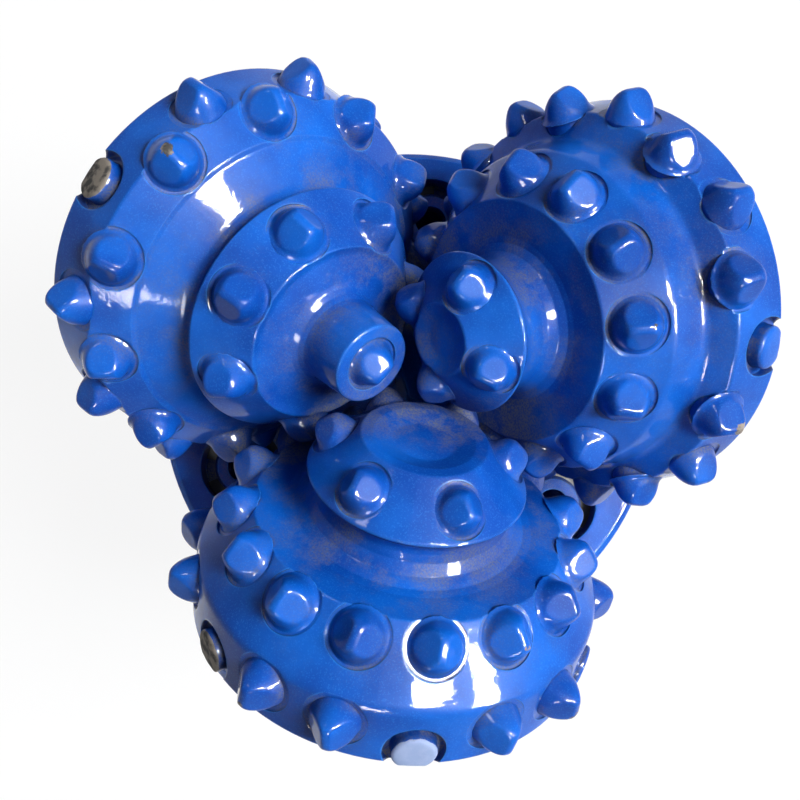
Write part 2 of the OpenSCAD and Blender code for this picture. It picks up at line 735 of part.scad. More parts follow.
module leg(i) color(paint)
    difference() {
        union() {
            difference() {
                leg_blank(i);
                sweeps();
            }
            on_journal(i)
                difference() {
                    revolve(journal_outline);
                    translate([0, 0, race_h]) rotate_extrude() translate([race_r, 0])
                        circle(r = groove_r);
                }
        }
        on_ball_hole(i) translate([0, 0, -20]) cylinder(r = plug_r, h = plug_run + 22);
        nozzle_pocket(i);
        grease_bores(i);
        on_buttons(i) translate([0, 0, -5])
            cylinder(r = button_r + press_gap, h = 5 + button_l - button_proud + press_gap);
        rotate([0, 0, leg_turn[i]])
            translate([breaker_flat, cone_offset - breaker_slot_w, breaker_slot_z])
                cube([far, 2 * breaker_slot_w, breaker_slot_h]);
    }

// Canister that holds the grease
module reservoir_cup(i) color(steel) on_reservoir(i)
    translate([0, 0, reservoir_floor + seat_gap])
        difference() {
            cylinder(r = reservoir_r - seat_gap, h = cup_l);
            translate([0, 0, cup_wall + 1])
                cylinder(r = reservoir_r - seat_gap - cup_wall, h = cup_l);
            translate([0, 0, -1]) cylinder(r = 2.5, h = far);
        }

// Rubber thimble that passes the mud's pressure on to the grease
module diaphragm(i) color(rubber) on_reservoir(i)
    translate([0, 0, reservoir_floor + 2 * seat_gap + cup_l])
        difference() {
            union() {
                cylinder(r = reservoir_r - seat_gap, h = flange_t);
                translate([0, 0, -diaphragm_l])
                    cylinder(r = reservoir_r - 3 * cup_wall, h = diaphragm_l + 1);
            }
            translate([0, 0, cup_wall - diaphragm_l])
                cylinder(r = reservoir_r - 4 * cup_wall, h = far);
        }

module reservoir_cap(i) color(paint) on_reservoir(i)
    translate([0, 0, cap_x])
        difference() {
            union() {
                cylinder(r = cap_r, h = cap_t - 1);
                translate([0, 0, cap_t - 1]) cylinder(r = cap_r - 4, h = 1);
            }
            translate([0, 0, -1]) cylinder(r = 2.5, h = far);
            translate([0, 0, cap_t - 2]) cylinder(r = 5, h = far);
        }

// Open ring that holds the cap down, seated in its groove
module snap_ring(i) color(steel) on_reservoir(i)
    translate([0, 0, snap_x - seat_gap / 2 + 0.05])
        rotate([0, 0, 20])
            rotate_extrude(angle = 320)
                translate([cap_r - 2.5, 0]) square([2.5 + snap_groove_d, snap_t]);

// Nozzle: a wide foot on the seal, a neck, and a throat that narrows to the orifice
module nozzle(i) color(carbide) on_nozzle(i)
    rotate_extrude()
        polygon([
            [passage_r, 0], [pocket_r - seat_gap, 0], [pocket_r - seat_gap, nozzle_foot_h],
            [nozzle_neck_r, nozzle_foot_h], [nozzle_neck_r, pocket_d - 6],
            [nozzle_neck_r - 1, pocket_d - 5], [orifice_r, pocket_d - 5],
            [orifice_r, pocket_d - 5 - orifice_l]
        ]);

module nozzle_seals() color(rubber) for (i = legs) on_nozzle(i)
    translate([0, 0, nozzle_seal_h]) rotate_extrude()
        translate([pocket_r + nozzle_seal_d / 2, 0]) circle(d = nozzle_seal_d - seat_gap / 2);

module nozzle_rings() color(steel) for (i = legs) on_nozzle(i)
    translate([0, 0, nozzle_foot_h + 1.5 * seat_gap])
        rotate_extrude(angle = 325)
            translate([nozzle_neck_r + 0.4, 0])
                square([pocket_r + 1 - nozzle_neck_r - 0.4, nozzle_ring_t]);

module shirttail_buttons(i) color(carbide) on_buttons(i)
    translate([0, 0, -button_proud]) cylinder(r = button_r, h = button_l);

leg(0);  // leg_a
leg(1);  // leg_b
leg(2);  // leg_c
cone_a();
cone_b();
cone_c();
gage_inserts(0, a_gage);  // gage_inserts_a
gage_inserts(1, b_gage);  // gage_inserts_b
gage_inserts(2, c_gage);  // gage_inserts_c
outer_inserts(0, a_outer);  // outer_inserts_a
outer_inserts(1, b_outer);  // outer_inserts_b
outer_inserts(2, c_outer);  // outer_inserts_c
second_inserts_a();
third_inserts_a();
nose_insert_a();
step_inserts_b();
main_inserts_b();
nose_inserts_b();
main_inserts_c();
nose_inserts_c();
journal_bush(0);  // journal_bush_a
journal_bush(1);  // journal_bush_b
journal_bush(2);  // journal_bush_c
pilot_bush(0);  // pilot_bush_a
pilot_bush(1);  // pilot_bush_b
pilot_bush(2);  // pilot_bush_c
thrust_washer(0);  // thrust_washer_a
thrust_washer(1);  // thrust_washer_b
thrust_washer(2);  // thrust_washer_c
ball_set(0);  // ball_set_a
ball_set(1);  // ball_set_b
ball_set(2);  // ball_set_c
ball_plug(0);  // ball_plug_a
ball_plug(1);  // ball_plug_b
ball_plug(2);  // ball_plug_c
cone_seal(0);  // cone_seal_a
cone_seal(1);  // cone_seal_b
cone_seal(2);  // cone_seal_c
reservoir_cup(0);  // reservoir_cup_a
reservoir_cup(1);  // reservoir_cup_b
reservoir_cup(2);  // reservoir_cup_c
diaphragm(0);  // diaphragm_a
diaphragm(1);  // diaphragm_b
diaphragm(2);  // diaphragm_c
reservoir_cap(0);  // reservoir_cap_a
reservoir_cap(1);  // reservoir_cap_b
reservoir_cap(2);  // reservoir_cap_c
snap_ring(0);  // snap_ring_a
snap_ring(1);  // snap_ring_b
snap_ring(2);  // snap_ring_c
nozzle(0);  // nozzle_a
nozzle(1);  // nozzle_b
nozzle(2);  // nozzle_c
nozzle_seals();
nozzle_rings();
shirttail_buttons(0);  // shirttail_buttons_a
shirttail_buttons(1);  // shirttail_buttons_b
shirttail_buttons(2);  // shirttail_buttons_c
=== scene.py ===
# %% [markdown]
# # A tricone drill bit in blue enamel
#
# The bit drills rock with three cones that roll on the floor of the hole. Carbide inserts stand
# out of the cones and crush the rock. This one is new: shell, legs and inserts all wear one coat
# of glossy blue paint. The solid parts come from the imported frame, and nothing here moves them.
# We dress them, and model again the pieces whose shape the paint has softened.

# %% Load the frame
import math
import random

import bmesh
import bpy
from mathutils import Matrix, Vector
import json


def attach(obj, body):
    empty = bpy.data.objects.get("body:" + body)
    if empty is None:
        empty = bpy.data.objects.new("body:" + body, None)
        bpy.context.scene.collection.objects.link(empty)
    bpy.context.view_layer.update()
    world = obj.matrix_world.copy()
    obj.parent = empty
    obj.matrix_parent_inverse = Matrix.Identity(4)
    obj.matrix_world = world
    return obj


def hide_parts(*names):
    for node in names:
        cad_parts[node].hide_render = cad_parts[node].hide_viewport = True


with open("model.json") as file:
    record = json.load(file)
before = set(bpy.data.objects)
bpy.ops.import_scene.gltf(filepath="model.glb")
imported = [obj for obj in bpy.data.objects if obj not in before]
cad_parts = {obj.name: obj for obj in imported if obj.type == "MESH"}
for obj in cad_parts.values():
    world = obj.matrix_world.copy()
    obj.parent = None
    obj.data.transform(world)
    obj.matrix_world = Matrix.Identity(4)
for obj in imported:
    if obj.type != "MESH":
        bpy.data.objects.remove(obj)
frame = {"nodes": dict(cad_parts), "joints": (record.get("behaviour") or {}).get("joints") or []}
nodes = frame["nodes"]
joints = {joint["name"]: joint for joint in frame["joints"]}
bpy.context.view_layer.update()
MM = 0.001

# %% [markdown]
# ## Camera
#
# The photograph looks down on the cones from close by, a little from the front. We know where
# the three journal axes meet, so the camera is placed from that point: back along the line of
# sight, then shifted sideways and turned about its own axis until the cones lie as they do in
# the picture. A camera this close makes the nearest noses look larger, which a long lens from
# further away would lose.

# %% Camera above the cones
crossing = Vector((0, 0, joints["cone_c_spin"]["pos_m"][2]))
LOOK_TURN, LOOK_LIFT, LOOK_ROLL = (math.radians(angle) for angle in (3.29, 85.93, 7.73))
LOOK_DISTANCE = 297.7 * MM
LOOK_RIGHT, LOOK_UP = -4.35 * MM, -8.51 * MM
SENSOR = 36.0
FOCAL_PIXELS, PICTURE_PIXELS = 1084.5, 800

backward = Vector(
    (
        math.sin(LOOK_TURN) * math.cos(LOOK_LIFT),
        -math.cos(LOOK_TURN) * math.cos(LOOK_LIFT),
        math.sin(LOOK_LIFT),
    )
)
level = Vector((math.cos(LOOK_TURN), math.sin(LOOK_TURN), 0))
rolled = Matrix.Rotation(LOOK_ROLL, 3, backward)
right = rolled @ level
up = rolled @ backward.cross(level)

bpy.ops.object.select_all(action="DESELECT")
bpy.ops.object.camera_add(location=(0, 0, 0))
camera = bpy.context.object
camera.name = "photo_camera"
camera.matrix_world = Matrix.Translation(
    crossing + right * LOOK_RIGHT + up * LOOK_UP + backward * LOOK_DISTANCE
) @ Matrix((right, up, backward)).transposed().to_4x4()
camera.data.sensor_width = SENSOR
camera.data.lens = SENSOR * FOCAL_PIXELS / PICTURE_PIXELS
camera.data.clip_start = 0.01
bpy.context.scene.camera = camera
print("camera at", [round(v, 3) for v in camera.location], "lens", round(camera.data.lens, 1), "mm")

# %% [markdown]
# ## Light
#
# Glossy paint shows its surroundings, so the lamps matter as shapes. The photograph shows
# windows as white patches on the right of each cone. Mirroring the line of sight in the cones
# at those patches says where the panes were: one near the camera and one far to the right. Two
# smaller ones below the picture and at the upper left touch the grooves and noses. All four
# meet glossy rays only. One wide lamp on the right, which no mirror shows, lights the colours.

# %% Window lamps
def add_window(name, direction, distance, width, height, watts, mirrored=True):
    """A rectangular lamp, upright in the picture, in a direction given as right, up, backward.
    A mirrored one shows in the coat, any other one lights the colour beneath it."""
    toward = (right * direction[0] + up * direction[1] + backward * direction[2]).normalized()
    side = up.cross(toward).normalized()
    bpy.ops.object.select_all(action="DESELECT")
    bpy.ops.object.light_add(type="AREA", location=(0, 0, 0))
    lamp = bpy.context.object
    lamp.name = name
    lamp.matrix_world = Matrix.Translation(crossing + toward * distance) @ Matrix(
        (side, toward.cross(side), toward)
    ).transposed().to_4x4()
    lamp.data.shape = "RECTANGLE"
    lamp.data.size, lamp.data.size_y = width, height
    lamp.data.energy = watts
    lamp.visible_glossy = mirrored
    lamp.visible_diffuse = not mirrored
    return lamp


lamps = [
    add_window("window_near", (0.434, -0.03, 0.9), 2.0, 0.65, 0.34, 400),
    add_window("window_far", (0.76, -0.2, 0.62), 2.0, 0.4, 0.52, 400),
    add_window("window_low", (-0.12, -0.72, 0.68), 2.2, 0.6, 0.4, 90),
    add_window("sky_left", (-0.45, 0.5, 0.74), 2.4, 0.36, 0.3, 14),
    add_window("bright_wall", (0.58, 0.05, 0.81), 2.6, 1.2, 1.0, 104, mirrored=False),
]
print("lamps", [(lamp.name, lamp.data.energy) for lamp in lamps])

# %% [markdown]
# ## World and floor
#
# The picture's background is plain white. Light Path tells rays apart, so the camera, and any
# mirror or glass, can meet white while the rays that light the colours meet a dim room. The
# floor under the pin does the same, and keeps a soft shadow by mixing in plain diffuse white.
# The coat has a low IOR, or a white room would veil the dark blue under it.

# %% World
def seen_by_eye_or_mirror(tree):
    """1 for rays from the camera, or from a mirror or glass, 0 for the rays that light."""
    path = tree.nodes.new("ShaderNodeLightPath")
    result = path.outputs["Is Camera Ray"]
    for label in ("Is Glossy Ray", "Is Transmission Ray"):
        either = tree.nodes.new("ShaderNodeMath")
        either.operation = "MAXIMUM"
        tree.links.new(result, either.inputs[0])
        tree.links.new(path.outputs[label], either.inputs[1])
        result = either.outputs[0]
    return result


ROOM_COLOUR = (0.72, 0.86, 1.0, 1)
ROOM_LEVEL = 0.09
scene = bpy.context.scene
scene.view_settings.view_transform = "Standard"
world = bpy.data.worlds.new("pale_room")
scene.world = world
world.use_nodes = True
nodes_of = world.node_tree.nodes
nodes_of.clear()
output = nodes_of.new("ShaderNodeOutputWorld")
room = nodes_of.new("ShaderNodeBackground")
room.inputs["Color"].default_value = ROOM_COLOUR
room.inputs["Strength"].default_value = ROOM_LEVEL
white = nodes_of.new("ShaderNodeBackground")
white.inputs["Color"].default_value = (1, 1, 1, 1)
backdrop = nodes_of.new("ShaderNodeMixShader")
link = world.node_tree.links.new
link(seen_by_eye_or_mirror(world.node_tree), backdrop.inputs["Fac"])
link(room.outputs["Background"], backdrop.inputs[1])
link(white.outputs["Background"], backdrop.inputs[2])
link(backdrop.outputs["Shader"], output.inputs["Surface"])
print("world level", ROOM_LEVEL)

# %% Floor
FLOOR_SIZE = 6.0
PAPER = (0.86, 0.86, 0.86, 1)
GLOW_SHARE = 0.9

bpy.ops.object.select_all(action="DESELECT")
bpy.ops.mesh.primitive_plane_add(size=FLOOR_SIZE, location=(0, 0, -0.5 * MM))
floor = bpy.context.object
floor.name = "floor"
paper = bpy.data.materials.new("white_paper")
paper.use_nodes = True
tree = paper.node_tree
diffuse = tree.nodes["Principled BSDF"]
diffuse.inputs["Base Color"].default_value = PAPER
diffuse.inputs["Roughness"].default_value = 0.9
glow = tree.nodes.new("ShaderNodeEmission")
glow.inputs["Strength"].default_value = 1.0
share = tree.nodes.new("ShaderNodeMath")
share.operation = "MULTIPLY"
share.inputs[1].default_value = GLOW_SHARE
blend = tree.nodes.new("ShaderNodeMixShader")
tree.links.new(seen_by_eye_or_mirror(tree), share.inputs[0])
tree.links.new(share.outputs[0], blend.inputs["Fac"])
tree.links.new(diffuse.outputs["BSDF"], blend.inputs[1])
tree.links.new(glow.outputs["Emission"], blend.inputs[2])
tree.links.new(blend.outputs["Shader"], tree.nodes["Material Output"].inputs["Surface"])
floor.data.materials.append(paper)
print("floor", tuple(floor.dimensions))

# %% [markdown]
# ## Shared effects
#
# The same few things happen to the paint everywhere: it rounds every steel edge, metal flakes
# glint in it, dust lies where nothing rubs it off, and it has chipped in places. Each is a node
# group, made once, that puts out a mask or a normal. A material then decides what the mask
# does. Patterns read Object coordinates, so they turn with the cone that they lie on.

# %% Start a node group
def new_effect(name, inputs, outputs):
    """An empty shader group with value inputs {name: default} and outputs {name: socket type}."""
    group = bpy.data.node_groups.new(name, "ShaderNodeTree")
    for label, default in inputs.items():
        socket = group.interface.new_socket(label, in_out="INPUT", socket_type="NodeSocketFloat")
        socket.default_value = default
    for label, kind in outputs.items():
        group.interface.new_socket(label, in_out="OUTPUT", socket_type=kind)
    source = group.nodes.new("NodeGroupInput")
    sink = group.nodes.new("NodeGroupOutput")
    return group, source, sink


def ramp(tree, value, low, high):
    """A value from 0 at low to 1 at high, with smooth ends."""
    step = tree.nodes.new("ShaderNodeMapRange")
    step.interpolation_type = "SMOOTHSTEP"
    step.inputs["From Min"].default_value = low
    step.inputs["From Max"].default_value = high
    tree.links.new(value, step.inputs["Value"])
    return step.outputs["Result"]


def sums(tree, operation, first, second):
    """Math on two sockets, or on a socket and a number."""
    math_node = tree.nodes.new("ShaderNodeMath")
    math_node.operation = operation
    for slot, value in enumerate((first, second)):
        if isinstance(value, (int, float)):
            math_node.inputs[slot].default_value = value
        else:
            tree.links.new(value, math_node.inputs[slot])
    return math_node.outputs[0]


def noise(tree, scale, detail=2.0, rough=0.5):
    """Noise on Object coordinates, with scale in blobs per metre."""
    place = tree.nodes.new("ShaderNodeTexCoord")
    cloud = tree.nodes.new("ShaderNodeTexNoise")
    cloud.inputs["Scale"].default_value = scale
    cloud.inputs["Detail"].default_value = detail
    cloud.inputs["Roughness"].default_value = rough
    tree.links.new(place.outputs["Object"], cloud.inputs["Vector"])
    return cloud.outputs["Fac"]


print("group helpers ready")

# %% [markdown]
# ### Rounded edges
#
# Paint can't lie on a sharp edge: surface tension pulls it round, and the round edge catches
# the window as a thin bright line. The Bevel node gives that look without a single new face,
# by turning the normal near an edge. Comparing the turned normal with the flat one also tells
# where the edges are, where the colour is painted lighter: partly pooled paint, partly a
# painted highlight. A material takes the colour's normal from the group. Its clear coat gets
# the same nodes in the material itself, by the same helper.

# %% Soft edges group
PEEL_DEPTH = 0.4 * MM


def rounded_normal(tree, radius, ripple):
    """The normal turned round at edges, alone and with orange peel. Takes numbers or sockets."""
    rounder = tree.nodes.new("ShaderNodeBevel")
    rounder.samples = 6
    peel = tree.nodes.new("ShaderNodeBump")
    peel.inputs["Distance"].default_value = PEEL_DEPTH
    for socket, value in ((rounder.inputs["Radius"], radius), (peel.inputs["Strength"], ripple)):
        if isinstance(value, (int, float)):
            socket.default_value = value
        else:
            tree.links.new(value, socket)
    fine = sums(tree, "MULTIPLY", noise(tree, 900, 1.0), 0.3)
    tree.links.new(sums(tree, "ADD", noise(tree, 180, 1.0), fine), peel.inputs["Height"])
    tree.links.new(rounder.outputs["Normal"], peel.inputs["Normal"])
    return rounder.outputs["Normal"], peel.outputs["Normal"]


soft_edges, source, sink = new_effect(
    "soft_edges",
    {"Radius": 0.8 * MM, "Ripple": 0.05},
    {"Normal": "NodeSocketVector", "Edge": "NodeSocketFloat"},
)
straight = soft_edges.nodes.new("ShaderNodeNewGeometry")
compare = soft_edges.nodes.new("ShaderNodeVectorMath")
compare.operation = "DOT_PRODUCT"
smooth, peeled = rounded_normal(soft_edges, source.outputs["Radius"], source.outputs["Ripple"])
soft_edges.links.new(peeled, sink.inputs["Normal"])
soft_edges.links.new(smooth, compare.inputs[0])
soft_edges.links.new(straight.outputs["Normal"], compare.inputs[1])
turned = sums(soft_edges, "SUBTRACT", 1.0, compare.outputs["Value"])
soft_edges.links.new(ramp(soft_edges, turned, 0.01, 0.12), sink.inputs["Edge"])
print("soft_edges:", len(soft_edges.nodes), "nodes")

# %% [markdown]
# ### Flakes, dust and chips
#
# The enamel holds fine metal flakes: a Voronoi pattern with cells of a third of a millimetre,
# of which a few light up, a glint painted into the colour. Dust needs shelter and a face that
# looks up, so it multiplies ambient occlusion by the upward part of the normal. The shelter
# alone is put out too, as painted shade: the colour is darkened in corners and crevices, where
# shade falls. Chips are the few peaks of a coarse noise.

# %% Flakes group
flakes, source, sink = new_effect("flakes", {"Scale": 3200.0}, {"Mask": "NodeSocketFloat"})
place = flakes.nodes.new("ShaderNodeTexCoord")
cells = flakes.nodes.new("ShaderNodeTexVoronoi")
split = flakes.nodes.new("ShaderNodeSeparateColor")
flakes.links.new(place.outputs["Object"], cells.inputs["Vector"])
flakes.links.new(source.outputs["Scale"], cells.inputs["Scale"])
flakes.links.new(cells.outputs["Color"], split.inputs["Color"])
flakes.links.new(ramp(flakes, split.outputs["Red"], 0.72, 1.0), sink.inputs["Mask"])
print("flakes:", len(flakes.nodes), "nodes")

# %% Dust group
dust_and_painted_shade, source, sink = new_effect(
    "dust_and_painted_shade",
    {"Reach": 22 * MM, "Amount": 1.0},
    {"Mask": "NodeSocketFloat", "Painted Shade": "NodeSocketFloat"},
)
place = dust_and_painted_shade.nodes.new("ShaderNodeTexCoord")
parts = dust_and_painted_shade.nodes.new("ShaderNodeSeparateXYZ")
shelter = dust_and_painted_shade.nodes.new("ShaderNodeAmbientOcclusion")
shelter.samples = 6
dust_and_painted_shade.links.new(source.outputs["Reach"], shelter.inputs["Distance"])
dust_and_painted_shade.links.new(place.outputs["Normal"], parts.inputs["Vector"])
looks_up = ramp(dust_and_painted_shade, parts.outputs["Z"], 0.1, 0.85)
covered = sums(dust_and_painted_shade, "SUBTRACT", 1.0, shelter.outputs["AO"])
# Painted shade: this mask darkens the colour in corners and crevices, where shade falls.
dust_and_painted_shade.links.new(ramp(dust_and_painted_shade, covered, 0.08, 0.7), sink.inputs["Painted Shade"])
hidden = ramp(dust_and_painted_shade, covered, 0.06, 0.36)
patchy = ramp(dust_and_painted_shade, noise(dust_and_painted_shade, 70, 5.0, 0.65), 0.4, 0.6)
grainy = ramp(dust_and_painted_shade, noise(dust_and_painted_shade, 1600, 2.0), 0.35, 0.65)
lying = sums(dust_and_painted_shade, "MULTIPLY", sums(dust_and_painted_shade, "MULTIPLY", looks_up, hidden), patchy)
speckled = sums(dust_and_painted_shade, "MULTIPLY", lying, sums(dust_and_painted_shade, "ADD", sums(dust_and_painted_shade, "MULTIPLY", grainy, 0.6), 0.4))
dust_and_painted_shade.links.new(sums(dust_and_painted_shade, "MULTIPLY", speckled, source.outputs["Amount"]), sink.inputs["Mask"])
print("dust:", len(dust_and_painted_shade.nodes), "nodes")

# %% Chips group
chips, source, sink = new_effect("chips", {"Level": 0.73}, {"Mask": "NodeSocketFloat"})
coarse = noise(chips, 140, 6.0, 0.7)
above = sums(chips, "SUBTRACT", coarse, source.outputs["Level"])
chips.links.new(ramp(chips, above, 0.0, 0.015), sink.inputs["Mask"])
print("effects:", [group.name for group in bpy.data.node_groups])

# %% [markdown]
# ## Blue enamel
#
# Under the lacquer the paint is a strong blue. Its colour is painted lighter along edges, for
# paint that lies thick there and as a painted highlight, and darker in corners as painted
# shade. The Principled shader gives it in two layers: the pigment, with hardly any sheen of its
# own, and a clear coat on top that mirrors the windows. Dust hides both, so the mask that adds
# dust also takes the coat away.

# %% Enamel
PIGMENT = (0.003, 0.122, 0.6, 1)
# Lighter blue at edges: partly thick paint, partly a painted highlight.
THICK_PAINT_AND_HIGHLIGHT = (0.03, 0.24, 0.72, 1)
THIN_PIGMENT = (0.002, 0.062, 0.38, 1)
# A painted glint: the lighter blue of the few flakes that catch the light.
FLAKE_GLINT = (0.04, 0.32, 0.9, 1)
# Dark navy painted shade for corners and crevices.
PAINTED_SHADE_BLUE = (0.001, 0.022, 0.16, 1)
DUST = (0.14, 0.138, 0.12, 1)
PRIMER = (0.22, 0.075, 0.03, 1)
COAT_ROUGHNESS = 0.045
COAT_IOR = 1.16
UNDER_SHEEN = 0.02
PAINTED_SHADE_STRENGTH = 0.8


def add_group(tree, group, **values):
    """Places a shared effect in a material, with its own values."""
    node = tree.nodes.new("ShaderNodeGroup")
    node.node_tree = group
    for label, value in values.items():
        node.inputs[label].default_value = value
    return node


def mix(tree, mask, first, second):
    """A colour that goes from first to second by the mask. Each is a colour or a socket."""
    node = tree.nodes.new("ShaderNodeMix")
    node.data_type = "RGBA"
    for socket, value in ((node.inputs[0], mask), (node.inputs[6], first), (node.inputs[7], second)):
        if isinstance(value, (tuple, float)):
            socket.default_value = value
        else:
            tree.links.new(value, socket)
    return node.outputs[2]


def start_material(name, roughness, metallic=0.0):
    material = bpy.data.materials.new(name)
    material.use_nodes = True
    shader = material.node_tree.nodes["Principled BSDF"]
    shader.inputs["Roughness"].default_value = roughness
    shader.inputs["Metallic"].default_value = metallic
    return material, material.node_tree, shader


def blue_paint(tree, edge):
    """The enamel's colour before dust: patchy pigment, lighter at edges for thick paint and as a
    painted highlight, with flakes in it whose glint is painted as lighter dots.
    """
    patchy = ramp(tree, noise(tree, 38, 3.0), 0.35, 0.68)
    pigment = mix(tree, patchy, THIN_PIGMENT, PIGMENT)
    # Edges are painted lighter: pooled paint and a painted highlight.
    pooled_and_highlit = mix(tree, sums(tree, "MULTIPLY", edge, 0.75), pigment, THICK_PAINT_AND_HIGHLIGHT)
    # The flakes are real; the light they catch is painted into the colour as lighter dots.
    glitter = add_group(tree, flakes)
    return mix(tree, sums(tree, "MULTIPLY", glitter.outputs["Mask"], 0.16), pooled_and_highlit, FLAKE_GLINT)


def lacquer(tree, shader, radius, ripple, gone):
    """The clear coat over a colour, with rounded edges, and none where the mask is 1."""
    shader.inputs["Specular IOR Level"].default_value = UNDER_SHEEN
    shader.inputs["Coat Roughness"].default_value = COAT_ROUGHNESS
    shader.inputs["Coat IOR"].default_value = COAT_IOR
    tree.links.new(sums(tree, "SUBTRACT", 1.0, gone), shader.inputs["Coat Weight"])
    _, peeled = rounded_normal(tree, radius, ripple)
    tree.links.new(peeled, shader.inputs["Coat Normal"])


def make_enamel(name, edge_radius, dust_amount, chip_level, ripple=0.15):
    """Blue enamel for a whole node."""
    material, tree, shader = start_material(name, 0.42)
    edges = add_group(tree, soft_edges, Radius=edge_radius, Ripple=ripple)
    blue = blue_paint(tree, edges.outputs["Edge"])
    chip = add_group(tree, chips, Level=chip_level)
    chipped = mix(tree, chip.outputs["Mask"], blue, PRIMER)
    dust_and_shade = add_group(tree, dust_and_painted_shade, Amount=dust_amount)
    # Painted shade: the blue turns dark navy in corners and crevices, where shade falls.
    painted_shade_mask = sums(tree, "MULTIPLY", dust_and_shade.outputs["Painted Shade"], PAINTED_SHADE_STRENGTH)
    with_painted_shade = mix(tree, painted_shade_mask, chipped, PAINTED_SHADE_BLUE)
    tree.links.new(mix(tree, dust_and_shade.outputs["Mask"], with_painted_shade, DUST), shader.inputs["Base Color"])
    tree.links.new(edges.outputs["Normal"], shader.inputs["Normal"])
    lacquer(tree, shader, edge_radius, ripple, dust_and_shade.outputs["Mask"])
    return material


cone_enamel = make_enamel("cone_enamel", 0.9 * MM, 0.9, 0.74)
print("enamel", len(cone_enamel.node_tree.nodes), "nodes")

# %% [markdown]
# ## Painted legs with a bare pin
#
# The legs wear the same enamel down to the shoulder. The pin below it screws into the drill
# string, so it is left as machined steel, dark with thread grease. One material does both: a
# mask on the height picks paint above the shoulder and steel below it.

# %% Leg material
SHOULDER_Z = 107.95 * MM
STEEL = (0.33, 0.33, 0.34, 1)
GREASED = (0.06, 0.052, 0.045, 1)


def height_mask(tree, height, softness):
    """1 above a height, 0 below it."""
    place = tree.nodes.new("ShaderNodeTexCoord")
    parts = tree.nodes.new("ShaderNodeSeparateXYZ")
    tree.links.new(place.outputs["Object"], parts.inputs["Vector"])
    return ramp(tree, parts.outputs["Z"], height - softness, height + softness)


leg_enamel = make_enamel("leg_enamel", 1.2 * MM, 0.8, 0.72)
tree = leg_enamel.node_tree
shader = tree.nodes["Principled BSDF"]
painted = shader.inputs["Base Color"].links[0].from_socket
painted_mask = height_mask(tree, SHOULDER_Z - 0.3 * MM, 0.2 * MM)
turned_steel = mix(tree, ramp(tree, noise(tree, 60, 4.0, 0.6), 0.35, 0.65), STEEL, GREASED)
tree.links.new(mix(tree, painted_mask, turned_steel, painted), shader.inputs["Base Color"])
tree.links.new(sums(tree, "SUBTRACT", 1.0, painted_mask), shader.inputs["Metallic"])
coated = shader.inputs["Coat Weight"].links[0].from_socket
tree.links.new(sums(tree, "MULTIPLY", coated, painted_mask), shader.inputs["Coat Weight"])
print("leg enamel", len(tree.nodes), "nodes")

# %% [markdown]
# ## Metals and rubber
#
# Inside the bit are bronze bearings, steel balls and rubber seals. Most show only when the bit
# is taken apart, while the carbide buttons and the snap rings show on the legs. Each gets its
# own finish: turned bronze with a fine grain, ground steel, grey sintered carbide, and dull
# moulded rubber.

# %% Plain finishes
def make_metal(name, bright, dark, roughness, grain, metallic=1.0):
    """A metal whose colour wanders between two tones, with grain as bump."""
    material, tree, shader = start_material(name, roughness, metallic)
    cloudy = ramp(tree, noise(tree, 90, 4.0, 0.6), 0.3, 0.7)
    tree.links.new(mix(tree, cloudy, bright, dark), shader.inputs["Base Color"])
    bump = tree.nodes.new("ShaderNodeBump")
    bump.inputs["Strength"].default_value = 0.15
    bump.inputs["Distance"].default_value = 0.05 * MM
    tree.links.new(noise(tree, grain, 3.0), bump.inputs["Height"])
    tree.links.new(bump.outputs["Normal"], shader.inputs["Normal"])
    worn = sums(tree, "ADD", sums(tree, "MULTIPLY", cloudy, 0.15), roughness)
    tree.links.new(worn, shader.inputs["Roughness"])
    return material


bronze = make_metal("bronze", (0.62, 0.36, 0.13, 1), (0.45, 0.25, 0.09, 1), 0.28, 1500)
ground_steel = make_metal("ground_steel", (0.58, 0.59, 0.6, 1), (0.4, 0.41, 0.42, 1), 0.25, 2500)
bare_carbide = make_metal("bare_carbide", (0.3, 0.29, 0.28, 1), (0.2, 0.19, 0.18, 1), 0.4, 3000, 0.8)
seal_rubber = make_metal("seal_rubber", (0.03, 0.03, 0.03, 1), (0.018, 0.018, 0.019, 1), 0.6, 800, 0.0)
print("finishes", [m.name for m in bpy.data.materials])

# %% Dress the CAD nodes
FINISHES = {
    "leg_": leg_enamel,
    "reservoir_cap_": leg_enamel,
    "cone_seal_": seal_rubber,
    "cone_": cone_enamel,
    "diaphragm_": seal_rubber,
    "nozzle_seals": seal_rubber,
    "nozzle_rings": seal_rubber,
    "nozzle_": leg_enamel,
    "shirttail_buttons_": bare_carbide,
    "journal_bush_": bronze,
    "pilot_bush_": bronze,
    "thrust_washer_": bronze,
    "ball_": ground_steel,
    "reservoir_cup_": ground_steel,
    "snap_ring_": ground_steel,
}
for name, node in nodes.items():
    start = next((start for start in FINISHES if name.startswith(start)), None)
    if start:
        node.data.materials.clear()
        node.data.materials.append(FINISHES[start])
print("dressed", sum(1 for n in nodes if any(n.startswith(s) for s in FINISHES)), "nodes")

# %% [markdown]
# ## A painted chisel insert
#
# An insert is a carbide barrel pressed into the cone, with a chisel crown: two flat flanks
# that meet in a short rounded crest. Paint fills the corner at its foot. We begin with a low
# cylinder, extrude and scale its top ring by ring for the fillet, the barrel and the dome, then
# cut the dome with two slanted planes. The cuts leave hard edges. A voxel remesh gives an even
# skin, and smoothing that skin rounds every edge by the same amount, as a coat of paint does.

# %% Helpers for modelling by hand
def only(*pieces):
    """Selects these pieces and nothing else, and makes the first one active."""
    bpy.ops.object.select_all(action="DESELECT")
    for piece in pieces:
        piece.select_set(True)
    bpy.context.view_layer.objects.active = pieces[0]


